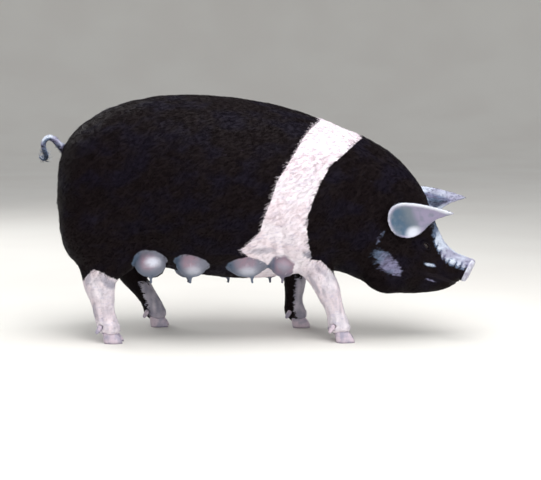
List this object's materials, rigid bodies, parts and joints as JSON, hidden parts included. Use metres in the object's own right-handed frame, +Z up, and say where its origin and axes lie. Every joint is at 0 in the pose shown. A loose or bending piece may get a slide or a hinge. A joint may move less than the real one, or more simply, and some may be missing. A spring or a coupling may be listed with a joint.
{
  "type": "hampshire pig",
  "caption": "Life-size standing sow with a white belt over the shoulders, lowered head, forward-leaning ears, curled tail, udder and cloven feet, as a still model.",
  "frame": {"origin": "on the ground, under the middle of the whole animal's box", "axes": "+X towards the snout, along the body; +Y to the animal's left; +Z up"},
  "size_m": [1.6156, 0.5712, 0.8963],
  "materials": {
    "black_hide": "short black bristle coat over dark skin, with a soft sheen",
    "white_hide": "short white bristle coat over pink skin, matt",
    "udder_hide": "thinly haired grey-pink skin",
    "ear_hide": "thin blue-grey and pink skin with fine hair",
    "snout_hide": "bare, moist, grey-pink skin",
    "tail_hide": "dark skin under grey and white hair",
    "horn": "pinkish-grey hoof horn with growth rings, half matt",
    "eye": "wet dark brown eye"
  },
  "bodies": {
    "root": {"torso": "black_hide", "shoulders": "white_hide", "neck": "black_hide", "head": "black_hide", "udder": "udder_hide", "snout": "snout_hide", "tail": "tail_hide", "ear_left": "ear_hide", "ear_right": "ear_hide", "eye_left": "eye", "eye_right": "eye", "leg_fore_left": "white_hide", "leg_fore_right": "white_hide", "leg_hind_left": "white_hide", "leg_hind_right": "white_hide", "hoof_fore_left_inner": "horn", "hoof_fore_left_outer": "horn", "hoof_fore_right_inner": "horn", "hoof_fore_right_outer": "horn", "hoof_hind_left_inner": "horn", "hoof_hind_left_outer": "horn", "hoof_hind_right_inner": "horn", "hoof_hind_right_outer": "horn", "dewclaw_fore_left_inner": "horn", "dewclaw_fore_left_outer": "horn", "dewclaw_fore_right_inner": "horn", "dewclaw_fore_right_outer": "horn", "dewclaw_hind_left_inner": "horn", "dewclaw_hind_left_outer": "horn", "dewclaw_hind_right_inner": "horn", "dewclaw_hind_right_outer": "horn"}
  },
  "joints": []
}
